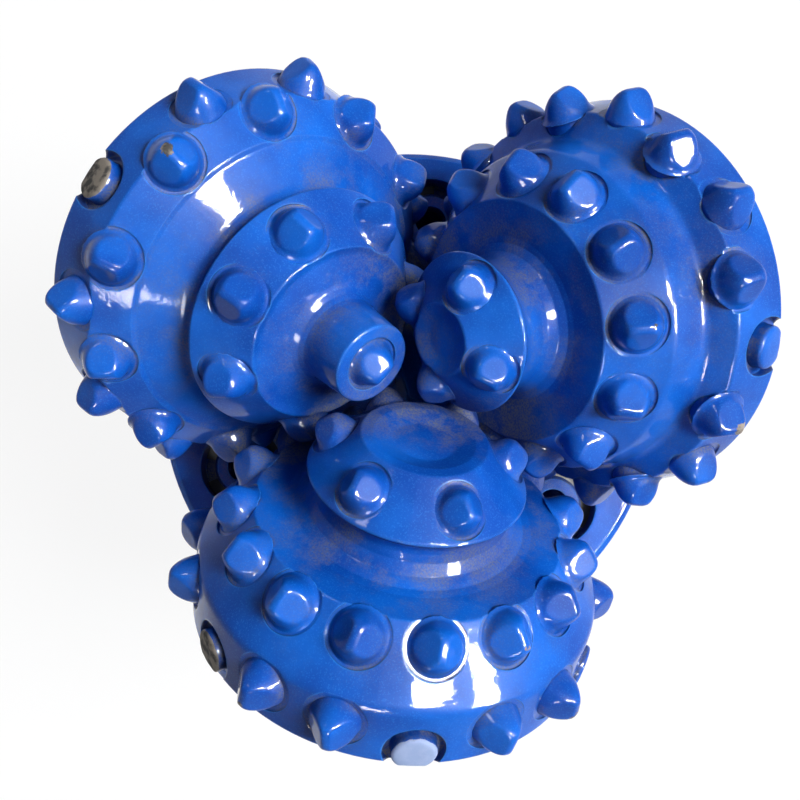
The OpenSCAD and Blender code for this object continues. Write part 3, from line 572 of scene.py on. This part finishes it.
def choose_faces(piece, rule):
    """In edit mode, selects the faces for which the rule holds."""
    bpy.ops.mesh.select_mode(type="FACE")
    bpy.ops.mesh.select_all(action="DESELECT")
    mesh = bmesh.from_edit_mesh(piece.data)
    for face in mesh.faces:
        face.select_set(rule(face))
    mesh.select_flush_mode()
    bmesh.update_edit_mesh(piece.data)


def apply_all(piece):
    """Applies every modifier of a piece."""
    only(piece)
    for modifier in list(piece.modifiers):
        bpy.ops.object.modifier_apply(modifier=modifier.name)


def skin(piece, voxel, strength, rounds):
    """An even skin over a blocked-out shape, smoothed as paint would be."""
    remesh = piece.modifiers.new("skin", "REMESH")
    remesh.mode = "VOXEL"
    remesh.voxel_size = voxel
    smooth = piece.modifiers.new("paint", "SMOOTH")
    smooth.factor, smooth.iterations = strength, rounds
    apply_all(piece)
    only(piece)
    bpy.ops.object.shade_smooth()


def turned_blank(name, profile, sides=40):
    """A turned shape with upright axis, from (radius, height) rings, all in metres."""
    (first_r, first_z), (second_r, second_z) = profile[:2]
    bpy.ops.object.select_all(action="DESELECT")
    bpy.ops.mesh.primitive_cylinder_add(
        vertices=sides, radius=first_r, depth=second_z - first_z, location=(0, 0, 0)
    )
    piece = bpy.context.object
    piece.name = name
    piece.data.transform(Matrix.Translation((0, 0, (first_z + second_z) / 2)))
    bpy.ops.object.mode_set(mode="EDIT")
    top = second_z
    radius = first_r
    choose_faces(piece, lambda face: face.normal.z > 0.9)
    if second_r != first_r:
        bpy.ops.transform.resize(value=(second_r / first_r,) * 2 + (1,))
        radius = second_r
    for next_r, next_z in profile[2:]:
        bpy.ops.mesh.extrude_region_move(TRANSFORM_OT_translate={"value": (0, 0, next_z - top)})
        bpy.ops.transform.resize(value=(next_r / radius,) * 2 + (1,), center_override=(0, 0, next_z))
        radius, top = next_r, next_z
    bpy.ops.object.mode_set(mode="OBJECT")
    return piece


print("modelling helpers ready")

# %% Chisel insert
BARREL = 6.5 * MM
COLLAR = 0.8 * MM
CREST_W = 1.9 * MM
SKIN_VOXEL = 0.45 * MM


def make_chisel(name, r, proud, foot):
    """One painted insert: seat at the origin, standing along +Z, crest along X, foot wider."""
    rise = proud - COLLAR
    piece = turned_blank(
        name,
        [
            (r, -BARREL),
            (r, -1.2 * MM),
            (r + foot, -0.9 * MM),
            (r + 0.45 * foot, -0.5 * MM),
            (r + 0.1 * foot, 0.1 * MM),
            (0.98 * r, COLLAR),
            (0.9 * r, COLLAR + 0.3 * rise),
            (0.79 * r, COLLAR + 0.6 * rise),
            (0.66 * r, COLLAR + 0.85 * rise),
            (0.52 * r, proud + 0.1 * MM),
            (0.3 * r, proud + 0.5 * MM),
        ],
    )
    run, climb = r - CREST_W, proud - 0.5 * MM - COLLAR
    for side in (1, -1):
        only(piece)
        bpy.ops.object.mode_set(mode="EDIT")
        bpy.ops.mesh.select_all(action="SELECT")
        bpy.ops.mesh.bisect(
            plane_co=(0, side * CREST_W, proud - 0.5 * MM),
            plane_no=Vector((0, side * climb, run)).normalized(),
            threshold=1e-6,
            use_fill=True,
            clear_outer=True,
        )
        bpy.ops.object.mode_set(mode="OBJECT")
    skin(piece, SKIN_VOXEL, 0.5, 9)
    wear_line = piece.data.attributes.new("crest", "FLOAT", "POINT")
    wear_line.data.foreach_set(
        "value", [(vert.co.z + 0.45 * vert.co.x) / proud for vert in piece.data.vertices]
    )
    tops = [vert.co for vert in piece.data.vertices if vert.co.z > proud - 1.0 * MM]
    crest = [round(2 * max(abs(co[axis]) for co in tops) / MM, 1) for axis in (0, 1)]
    print(name, len(piece.data.polygons), "faces, crest about", crest, "mm")
    return piece


outer_chisel = make_chisel("outer_chisel", 7.1 * MM, 7.4 * MM, 0.5 * MM)
land_chisel = make_chisel("land_chisel", 7.1 * MM, 7.0 * MM, 1.5 * MM)
nose_chisel = make_chisel("nose_chisel", 6.35 * MM, 5.6 * MM, 1.4 * MM)

# %% [markdown]
# ## Gage insert
#
# At the rim a few inserts sit in notches and are ground flat in line with the hole's wall, to
# keep the hole to size. One is a short barrel with a gently domed face, cut off straight on
# its outer side. A slanted plane makes the cut, and the same skin rounds the edges.

# %% D-shaped gage insert
GAGE_R = 6.35 * MM
GAGE_PROUD = 1.2 * MM
GAGE_LEAN = 4.0
FLAT_TILT = math.radians(GAGE_LEAN + 36.0)
FLAT_OUT = 4.1 * MM

gage_blank = turned_blank(
    "gage_blank",
    [
        (GAGE_R, -6.0 * MM),
        (GAGE_R, -3.4 * MM),
        (GAGE_R + 0.4 * MM, -3.0 * MM),
        (GAGE_R, -2.2 * MM),
        (GAGE_R, 0.5 * MM),
        (0.9 * GAGE_R, GAGE_PROUD),
        (0.5 * GAGE_R, GAGE_PROUD + 0.25 * MM),
    ],
)
only(gage_blank)
bpy.ops.object.mode_set(mode="EDIT")
bpy.ops.mesh.select_all(action="SELECT")
flat_normal = Vector((math.cos(FLAT_TILT), 0, math.sin(FLAT_TILT)))
bpy.ops.mesh.bisect(
    plane_co=flat_normal * FLAT_OUT,
    plane_no=flat_normal,
    threshold=1e-6,
    use_fill=True,
    clear_outer=True,
)
bpy.ops.object.mode_set(mode="OBJECT")
skin(gage_blank, SKIN_VOXEL, 0.5, 3)
face_height = gage_blank.data.attributes.new("crest", "FLOAT", "POINT")
face_height.data.foreach_set(
    "value", [0.4 + 0.6 * max(0.0, vert.co.z / GAGE_PROUD) for vert in gage_blank.data.vertices]
)
print("gage blank", len(gage_blank.data.polygons), "faces")

# %% [markdown]
# ## Insert material
#
# The crests stand highest, so there the paint is knocked off first and grey carbide with a tan
# bloom shows. Each insert carries two numbers: how high each point is on its crown, and how
# worn this one is. Where height plus noise passes the wear line, the paint is gone.

# %% Insert enamel with bare crests
BARE = (0.30, 0.26, 0.22, 1)
BARE_DARK = (0.075, 0.072, 0.07, 1)
SCUFFED = (0.36, 0.47, 0.76, 1)

INSERT_ROUGHNESS = 0.38
INSERT_EDGE, INSERT_RIPPLE = 0.5 * MM, 0.12
WEAR_LINE = 1.8

insert_enamel, tree, shader = start_material("insert_enamel", INSERT_ROUGHNESS)
edges = add_group(tree, soft_edges, Radius=INSERT_EDGE, Ripple=INSERT_RIPPLE)
blue = blue_paint(tree, edges.outputs["Edge"])
crown = tree.nodes.new("ShaderNodeAttribute")
crown.attribute_name = "crest"
wear = tree.nodes.new("ShaderNodeAttribute")
wear.attribute_name = "bare"
rough_edge = sums(tree, "MULTIPLY", noise(tree, 420, 5.0, 0.65), 0.5)
rubbed = sums(tree, "ADD", crown.outputs["Fac"], rough_edge)
line = sums(tree, "SUBTRACT", WEAR_LINE, wear.outputs["Fac"])
bare_mask = ramp(tree, sums(tree, "SUBTRACT", rubbed, line), 0.0, 0.03)
metal = mix(tree, ramp(tree, noise(tree, 300, 4.0), 0.4, 0.6), BARE, BARE_DARK)
scuffs = sums(tree, "MULTIPLY", ramp(tree, wear.outputs["Fac"], 0.92, 0.98), 0.85)
metal = mix(tree, scuffs, metal, SCUFFED)
dust_and_shade = add_group(tree, dust_and_painted_shade, Amount=0.8)
# Painted shade: the insert's blue darkens in corners and crevices around it.
painted_shade_mask = sums(tree, "MULTIPLY", dust_and_shade.outputs["Painted Shade"], PAINTED_SHADE_STRENGTH)
blue = mix(tree, painted_shade_mask, blue, PAINTED_SHADE_BLUE)
tree.links.new(
    mix(tree, dust_and_shade.outputs["Mask"], mix(tree, bare_mask, blue, metal), DUST),
    shader.inputs["Base Color"],
)
duller = sums(tree, "ADD", sums(tree, "MULTIPLY", bare_mask, 0.15), INSERT_ROUGHNESS)
tree.links.new(duller, shader.inputs["Roughness"])
tree.links.new(edges.outputs["Normal"], shader.inputs["Normal"])
lacquer(tree, shader, INSERT_EDGE, INSERT_RIPPLE, bare_mask)
print("insert enamel", len(tree.nodes), "nodes")

# %% [markdown]
# ## Rows of inserts
#
# A cone's own axes follow from its joint: Z along the axis to the nose, X outward and up, and
# Y level. A row needs only the height and radius of its seat, the lean of its normal and the
# angle of each insert from the level line. Each insert is a copy of the one modelled above,
# with its own mesh, set in place and given its wear. The row is then joined and stands for the
# plain CAD row. No two crests on the bit line up quite, so each is turned a few degrees.

# %% Axes of a cone
BACK_DISTANCE = 89.99 * MM


def cone_axes(key):
    """Matrix from a cone's own frame, at its back face, to the bit's."""
    spin = joints[f"cone_{key}_spin"]
    nose = Vector(spin["axis"]).normalized()
    outward = Vector((-nose.x, -nose.y, 0)).normalized()
    x_axis = (outward - nose * outward.dot(nose)).normalized()
    y_axis = nose.cross(x_axis)
    origin = Vector(spin["pos_m"]) - nose * BACK_DISTANCE
    return Matrix.Translation(origin) @ Matrix((x_axis, y_axis, nose)).transposed().to_4x4()


def seat_matrix(key, height, radius, lean, angle):
    """Matrix of a seat: Z along its normal, X towards the cone's back face."""
    turn = Matrix.Rotation(math.radians(90 - angle), 4, "Z")
    tip = Matrix.Rotation(math.radians(90 - lean), 4, "Y")
    return cone_axes(key) @ turn @ Matrix.Translation((radius * MM, 0, height * MM)) @ tip


def lean_of(back, front):
    """Lean of a land's normal towards the nose, from two (height, radius) points."""
    return math.degrees(math.atan2(back[1] - front[1], front[0] - back[0]))


def on_land(back, front, height):
    """Seat (height, radius, lean) on a land at a height."""
    share = (height - back[0]) / (front[0] - back[0])
    return height, back[1] + share * (front[1] - back[1]), lean_of(back, front)


def even(first, count):
    return [first + k * 360 / count for k in range(count)]


print("cone a axis", [round(v, 3) for v in cone_axes("a").col[2][:3]])

# %% Set a row
dice = random.Random(7)


def set_row(node, key, blank, seat, angles, worn=None, twist=12):
    """A row of copies of one insert that stands for the CAD row, with {place: wear level}."""
    height, radius, lean = seat
    row = []
    for place, angle in enumerate(angles):
        piece = blank.copy()
        piece.data = blank.data.copy()
        bpy.context.collection.objects.link(piece)
        spin = Matrix.Rotation(math.radians(dice.uniform(-twist, twist)), 4, "Z")
        piece.data.transform(seat_matrix(key, height, radius, lean, angle) @ spin)
        level = (worn or {}).get(place, 0.0)
        bare = piece.data.attributes.new("bare", "FLOAT", "POINT")
        bare.data.foreach_set("value", [level] * len(piece.data.vertices))
        row.append(piece)
    only(*row)
    bpy.ops.object.join()
    joined = bpy.context.object
    joined.name = node + "_painted"
    joined.data.materials.clear()
    joined.data.materials.append(insert_enamel)
    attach(joined, f"rolling_cone_{key}")
    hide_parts(node)
    print(node, len(angles), "inserts,", len(joined.data.polygons), "faces")
    return joined


RIM = (4.2, 61.4)
BAND = {"a": (21.6, 59.3), "b": (21.2, 58.9), "c": (23.1, 61.3)}
OUTER_H, GAGE_H = 15.5, 8.5
RIM_ROW = {
    "a": (even(13.6, 11), (2, 5, 8)),
    "b": (even(42, 9), (2, 6)),
    "c": (even(14.5, 17), (0, 3, 6, 9, 12, 15)),
}
WORN = {"a": {7: 0.42}, "b": {2: 0.3}, "c": {0: 0.42, 3: 0.36}}
GAGE_WORN = {"a": {0: 0.9}, "b": {}, "c": {1: 1.0, 2: 0.9}}

for key, (angles, gage_places) in RIM_ROW.items():
    outer = [angle for place, angle in enumerate(angles) if place not in gage_places]
    gage = [angles[place] for place in gage_places]
    seat = on_land(RIM, BAND[key], OUTER_H)
    set_row(f"outer_inserts_{key}", key, outer_chisel, seat, outer, WORN[key])
    height, radius, _ = on_land(RIM, BAND[key], GAGE_H)
    set_row(f"gage_inserts_{key}", key, gage_blank, (height, radius, -GAGE_LEAN), gage, GAGE_WORN[key], 0)

# %% Inner rows
A_SECOND = on_land((21.6, 59.3), (29.1, 49.7), 24)
A_THIRD = on_land((42.6, 39.5), (58.4, 27.7), 51.5)
B_MAIN = on_land((35.8, 48.8), (50.8, 36.2), 43.6)
B_NOSE = on_land((68.2, 23.8), (78.5, 10.5), 73.6)
C_MAIN = on_land((23.1, 61.3), (41.4, 46.2), 36.4)
C_NOSE = on_land((55.5, 32.7), (68.5, 18.5), 62)
A_SPEAR_H = 77.0

set_row("second_inserts_a", "a", land_chisel, A_SECOND, even(30, 11), {2: 0.42})
set_row("third_inserts_a", "a", land_chisel, A_THIRD, [25.5, 71, 114, 162, 213, 266, 318])
set_row("nose_insert_a", "a", nose_chisel, (A_SPEAR_H, 0, 90), [0])
set_row("step_inserts_b", "b", land_chisel, (19.4, 58.6, 20), even(62, 9), {2: 0.46})
B_MAIN_TURNS = [26, 54, 82.5, 111, 141, 171, 199, 230, 261, 292, 323, 354.5]
set_row("main_inserts_b", "b", land_chisel, B_MAIN, B_MAIN_TURNS, {3: 0.3})
set_row("nose_inserts_b", "b", nose_chisel, B_NOSE, even(52, 4))
set_row("main_inserts_c", "c", land_chisel, C_MAIN, even(3, 15), {2: 0.3})
set_row("nose_inserts_c", "c", nose_chisel, C_NOSE, [345, 60, 124, 187, 240, 293])
for blank in (outer_chisel, land_chisel, nose_chisel, gage_blank):
    bpy.data.objects.remove(blank)

# %% [markdown]
# ## Thread on the pin
#
# The pin's solid is a plain taper, so the thread goes on it here. A small diamond is the ridge's
# section. A Screw modifier sweeps it up the pin once every 5.08 mm, and a Simple Deform taper
# opens the helix as it climbs, by a quarter of a millimetre in diameter for each millimetre of
# height. The ends of the swept ridge are open, so both are filled in edit mode.

# %% Pin thread
PITCH = 25.4 / 5 * MM
THREAD_TURNS = 17
THREAD_START_Z = 8 * MM
PIN_END_R, PIN_ROOT_R = 45.2 * MM, 57.0 * MM
TAPER = (PIN_ROOT_R - PIN_END_R) / (SHOULDER_Z - 11 * MM)
AXIS_R = PIN_END_R - 3 * MM * TAPER

only(camera)
bpy.ops.mesh.primitive_circle_add(
    vertices=4, radius=1.0, fill_type="NOTHING", location=(0, 0, 0), rotation=(math.pi / 2, 0, 0)
)
thread = bpy.context.object
thread.name = "pin_thread"
bpy.ops.object.transform_apply(location=False, rotation=True, scale=True)
bpy.ops.object.mode_set(mode="EDIT")
bpy.ops.mesh.select_all(action="SELECT")
bpy.ops.transform.resize(value=(1.35 * MM, 1, 2.1 * MM), center_override=(0, 0, 0))
bpy.ops.transform.translate(value=(AXIS_R, 0, THREAD_START_Z))
bpy.ops.object.mode_set(mode="OBJECT")
sweep = thread.modifiers.new("helix", "SCREW")
sweep.axis = "Z"
sweep.angle = 2 * math.pi
sweep.screw_offset = PITCH
sweep.iterations = THREAD_TURNS
sweep.steps = sweep.render_steps = 72
apply_all(thread)
low_z = min(vert.co.z for vert in thread.data.vertices)
high_z = max(vert.co.z for vert in thread.data.vertices)
taper = thread.modifiers.new("taper", "SIMPLE_DEFORM")
taper.deform_method = "TAPER"
taper.deform_axis = "Z"
taper.factor = TAPER / AXIS_R * (high_z - low_z)
apply_all(thread)
bpy.ops.object.mode_set(mode="EDIT")
bpy.ops.mesh.select_mode(type="VERT")
bpy.ops.mesh.select_all(action="DESELECT")
bpy.ops.mesh.select_non_manifold()
bpy.ops.mesh.fill()
bpy.ops.mesh.select_all(action="SELECT")
bpy.ops.mesh.normals_make_consistent(inside=False)
bpy.ops.object.mode_set(mode="OBJECT")
bpy.ops.object.shade_smooth_by_angle(angle=math.radians(40))
thread.data.materials.append(leg_enamel)
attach(thread, "bit_body")
for height in (low_z, high_z):
    ring = [v.co for v in thread.data.vertices if abs(v.co.z - height) < PITCH]
    print("thread at", round(height / MM, 1), "mm: radius", round(max(co.xy.length for co in ring) / MM, 2))

# %% [markdown]
# ## Weld beads
#
# Three leg forgings are welded along their seams. A bead is a bar that swells and shrinks a
# little at each ripple. We extrude the top of a short cylinder along the seam in small steps,
# making each ring a little wider or narrower than the last, and smooth the result. The seam
# runs up the shank, out to the body's full radius and over its top edge.

# %% One bead, then three
SEAM_PATH = [(70.2, 112.5), (71.2, 124.0), (76.0, 138.0), (76.0, 172.0), (71.0, 179.0)]
SEAM_TURNS = (234, 114, 354)
RIPPLE = 1.5 * MM


def along(path, step):
    """Points every step metres along a path of (radius, height) in mm."""
    points = []
    for (r0, z0), (r1, z1) in zip(path[:-1], path[1:]):
        run = Vector((r1 - r0, 0, z1 - z0)) * MM
        count = max(1, round(run.length / step))
        points += [Vector((r0, 0, z0)) * MM + run * k / count for k in range(count)]
    return points + [Vector((path[-1][0], 0, path[-1][1])) * MM]


only(camera)
places = along(SEAM_PATH, RIPPLE)
bpy.ops.mesh.primitive_cylinder_add(
    vertices=12, radius=1.6 * MM, depth=(places[1] - places[0]).length, location=(0, 0, 0)
)
bead = bpy.context.object
bead.data.transform(Matrix.Translation((places[0] + places[1]) / 2))
bpy.ops.object.mode_set(mode="EDIT")
choose_faces(bead, lambda face: face.normal.z > 0.9)
width = 1.0
for number, (here, there) in enumerate(zip(places[1:-1], places[2:])):
    bpy.ops.mesh.extrude_region_move(TRANSFORM_OT_translate={"value": there - here})
    wider = (1.28 if number % 2 else 1.0) * dice.uniform(0.95, 1.1)
    bpy.ops.transform.resize(value=(wider / width,) * 2 + (1,), center_override=there)
    width = wider
bpy.ops.object.mode_set(mode="OBJECT")
rounded = bead.modifiers.new("rounded", "SUBSURF")
rounded.levels = rounded.render_levels = 1
apply_all(bead)
bpy.ops.object.shade_smooth()
for key, turn in zip("abc", SEAM_TURNS):
    seam = bead.copy()
    seam.data = bead.data.copy()
    seam.data.transform(Matrix.Rotation(math.radians(turn), 4, "Z"))
    seam.name = f"weld_bead_{key}"
    bpy.context.collection.objects.link(seam)
    seam.data.materials.append(leg_enamel)
    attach(seam, "bit_body")
print("beads of", len(bead.data.polygons), "faces")
bpy.data.objects.remove(bead)

# %% [markdown]

# %% Import json
import json
